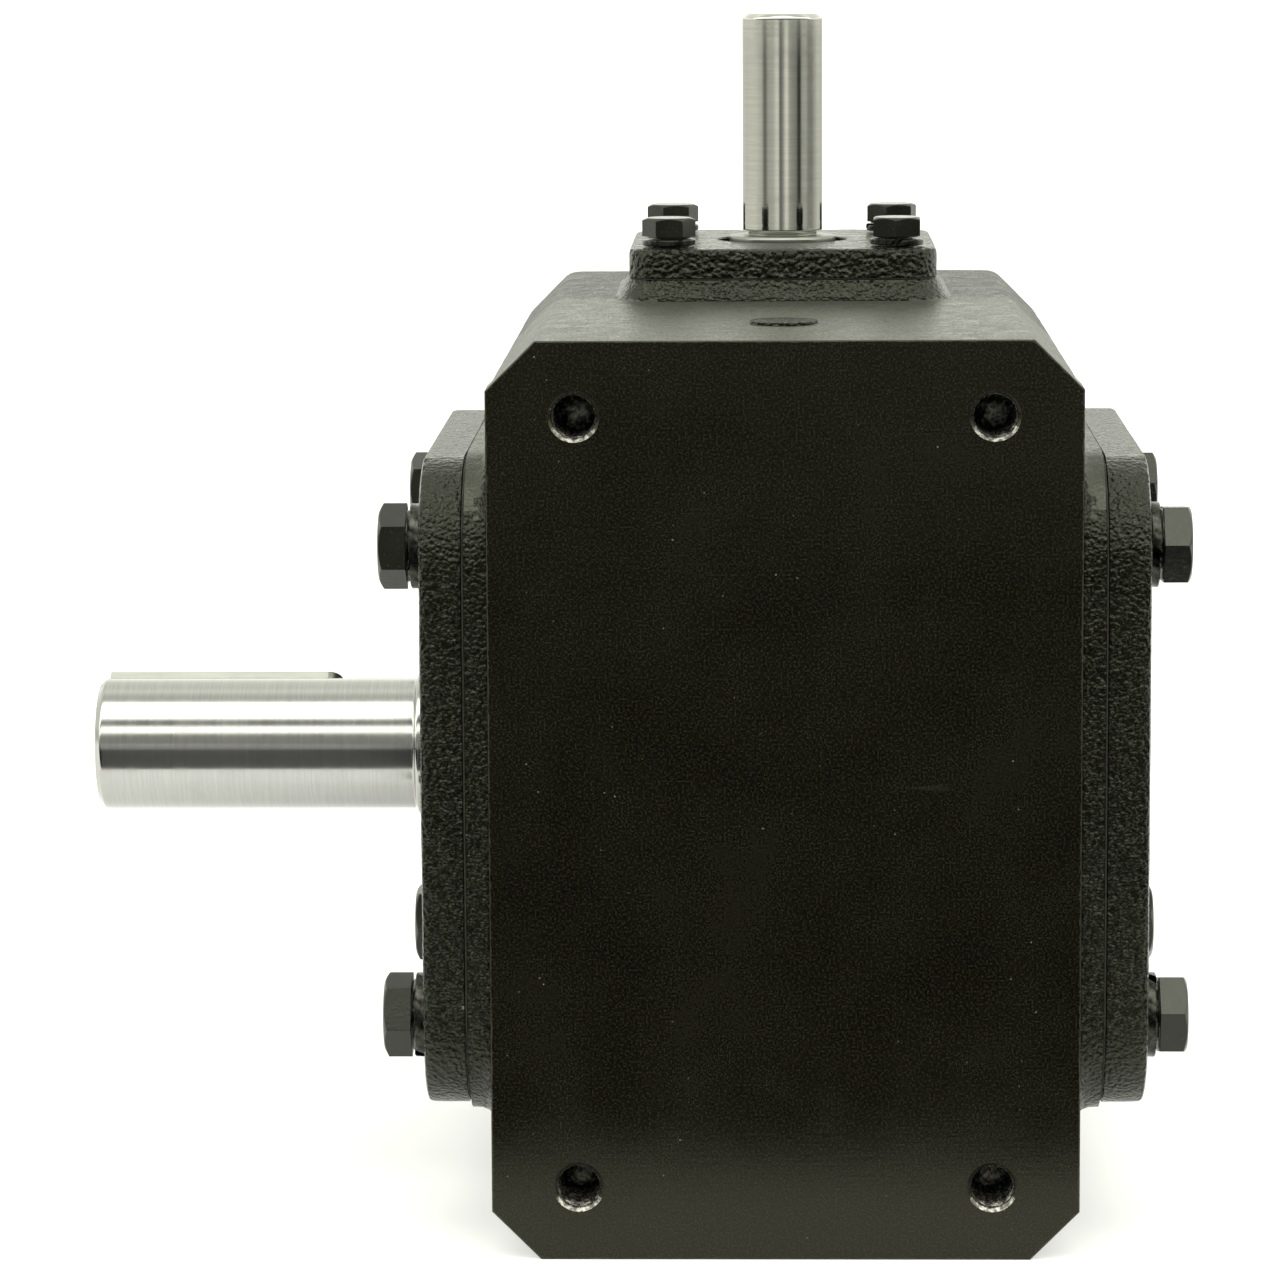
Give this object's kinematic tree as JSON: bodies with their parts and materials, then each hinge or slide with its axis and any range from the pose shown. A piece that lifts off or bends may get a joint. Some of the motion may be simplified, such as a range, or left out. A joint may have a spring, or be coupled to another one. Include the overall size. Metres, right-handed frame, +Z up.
{
  "type": "worm gearbox",
  "caption": "Right-angle worm gear reducer: black cast-iron housing with a machined four-hole mounting face, keyed input shaft on top and keyed output shaft at one side.",
  "frame": {"origin": "centre of the machined mounting face", "axes": "-Y out of the mounting face, +Z up along the input shaft, -X along the output shaft"},
  "size_m": [0.2861, 0.253, 0.3112],
  "materials": {
    "black_paint": "semi-gloss black paint over cast iron",
    "ground_steel": "ground",
    "bearing_steel": "polished",
    "black_oxide": "black oxide",
    "spring_steel": "plain",
    "bronze": "machined bronze",
    "bare_iron": "as cast and machined",
    "seal_rubber": "matte",
    "gasket": "fibre sheet"
  },
  "bodies": {
    "casing": {"housing": "black_paint", "output_side_cover": "black_paint", "blind_side_cover": "black_paint", "output_cover_gasket": "gasket", "blind_cover_gasket": "gasket", "input_bearing_cap": "black_paint", "input_cap_gasket": "gasket", "worm_end_plug": "spring_steel", "end_plug_retaining_ring": "spring_steel", "input_oil_seal": "seal_rubber", "output_oil_seal": "seal_rubber", "vent_plug": "black_oxide", "level_plug": "black_oxide", "drain_plug": "black_oxide", "output_cover_bolt_1": "black_oxide", "output_cover_bolt_2": "black_oxide", "output_cover_bolt_3": "black_oxide", "output_cover_bolt_4": "black_oxide", "output_cover_lock_washer_1": "spring_steel", "output_cover_lock_washer_2": "spring_steel", "output_cover_lock_washer_3": "spring_steel", "output_cover_lock_washer_4": "spring_steel", "blind_cover_bolt_1": "black_oxide", "blind_cover_bolt_2": "black_oxide", "blind_cover_bolt_3": "black_oxide", "blind_cover_bolt_4": "black_oxide", "blind_cover_lock_washer_1": "spring_steel", "blind_cover_lock_washer_2": "spring_steel", "blind_cover_lock_washer_3": "spring_steel", "blind_cover_lock_washer_4": "spring_steel", "cap_bolt_1": "black_oxide", "cap_bolt_2": "black_oxide", "cap_bolt_3": "black_oxide", "cap_bolt_4": "black_oxide", "cap_lock_washer_1": "spring_steel", "cap_lock_washer_2": "spring_steel", "cap_lock_washer_3": "spring_steel", "cap_lock_washer_4": "spring_steel", "output_end_bearing_cup": "bearing_steel", "blind_end_bearing_cup": "bearing_steel", "upper_worm_bearing_cup": "bearing_steel", "lower_worm_bearing_cup": "bearing_steel"},
    "output_assembly": {"output_shaft": "ground_steel", "output_key": "ground_steel", "worm_wheel_rim": "bronze", "worm_wheel_hub": "bare_iron", "wheel_key": "ground_steel", "wheel_spacer": "ground_steel", "output_end_bearing_cone": "bearing_steel", "blind_end_bearing_cone": "bearing_steel"},
    "worm_assembly": {"worm_shaft": "ground_steel", "input_key": "ground_steel", "upper_worm_bearing_cone": "bearing_steel", "lower_worm_bearing_cone": "bearing_steel"},
    "output_end_roller_set": {"output_end_bearing_rollers": "bearing_steel"},
    "blind_end_roller_set": {"blind_end_bearing_rollers": "bearing_steel"},
    "upper_worm_roller_set": {"upper_worm_bearing_rollers": "bearing_steel"},
    "lower_worm_roller_set": {"lower_worm_bearing_rollers": "bearing_steel"}
  },
  "joints": [
    {"name": "output_spin", "type": "hinge", "parent": "casing", "child": "output_assembly", "pos_m": [0, 0.086, 0.002], "axis": [-1, 0, 0], "continuous": true},
    {"name": "worm_spin", "type": "hinge", "parent": "casing", "child": "worm_assembly", "pos_m": [0, 0.16855, 0], "axis": [0, 0, 1], "continuous": true},
    {"name": "output_end_roller_spin", "type": "hinge", "parent": "casing", "child": "output_end_roller_set", "pos_m": [0, 0.086, 0.002], "axis": [-1, 0, 0], "continuous": true},
    {"name": "blind_end_roller_spin", "type": "hinge", "parent": "casing", "child": "blind_end_roller_set", "pos_m": [0, 0.086, 0.002], "axis": [-1, 0, 0], "continuous": true},
    {"name": "upper_worm_roller_spin", "type": "hinge", "parent": "casing", "child": "upper_worm_roller_set", "pos_m": [0, 0.16855, 0], "axis": [0, 0, 1], "continuous": true},
    {"name": "lower_worm_roller_spin", "type": "hinge", "parent": "casing", "child": "lower_worm_roller_set", "pos_m": [0, 0.16855, 0], "axis": [0, 0, 1], "continuous": true}
  ],
  "couplings": [
    {"joint": "worm_spin", "follows": "output_spin", "ratio": 30},
    {"joint": "output_end_roller_spin", "follows": "output_spin", "ratio": 0.4435},
    {"joint": "blind_end_roller_spin", "follows": "output_spin", "ratio": 0.4435},
    {"joint": "upper_worm_roller_spin", "follows": "output_spin", "ratio": 13.18},
    {"joint": "lower_worm_roller_spin", "follows": "output_spin", "ratio": 13.18}
  ]
}
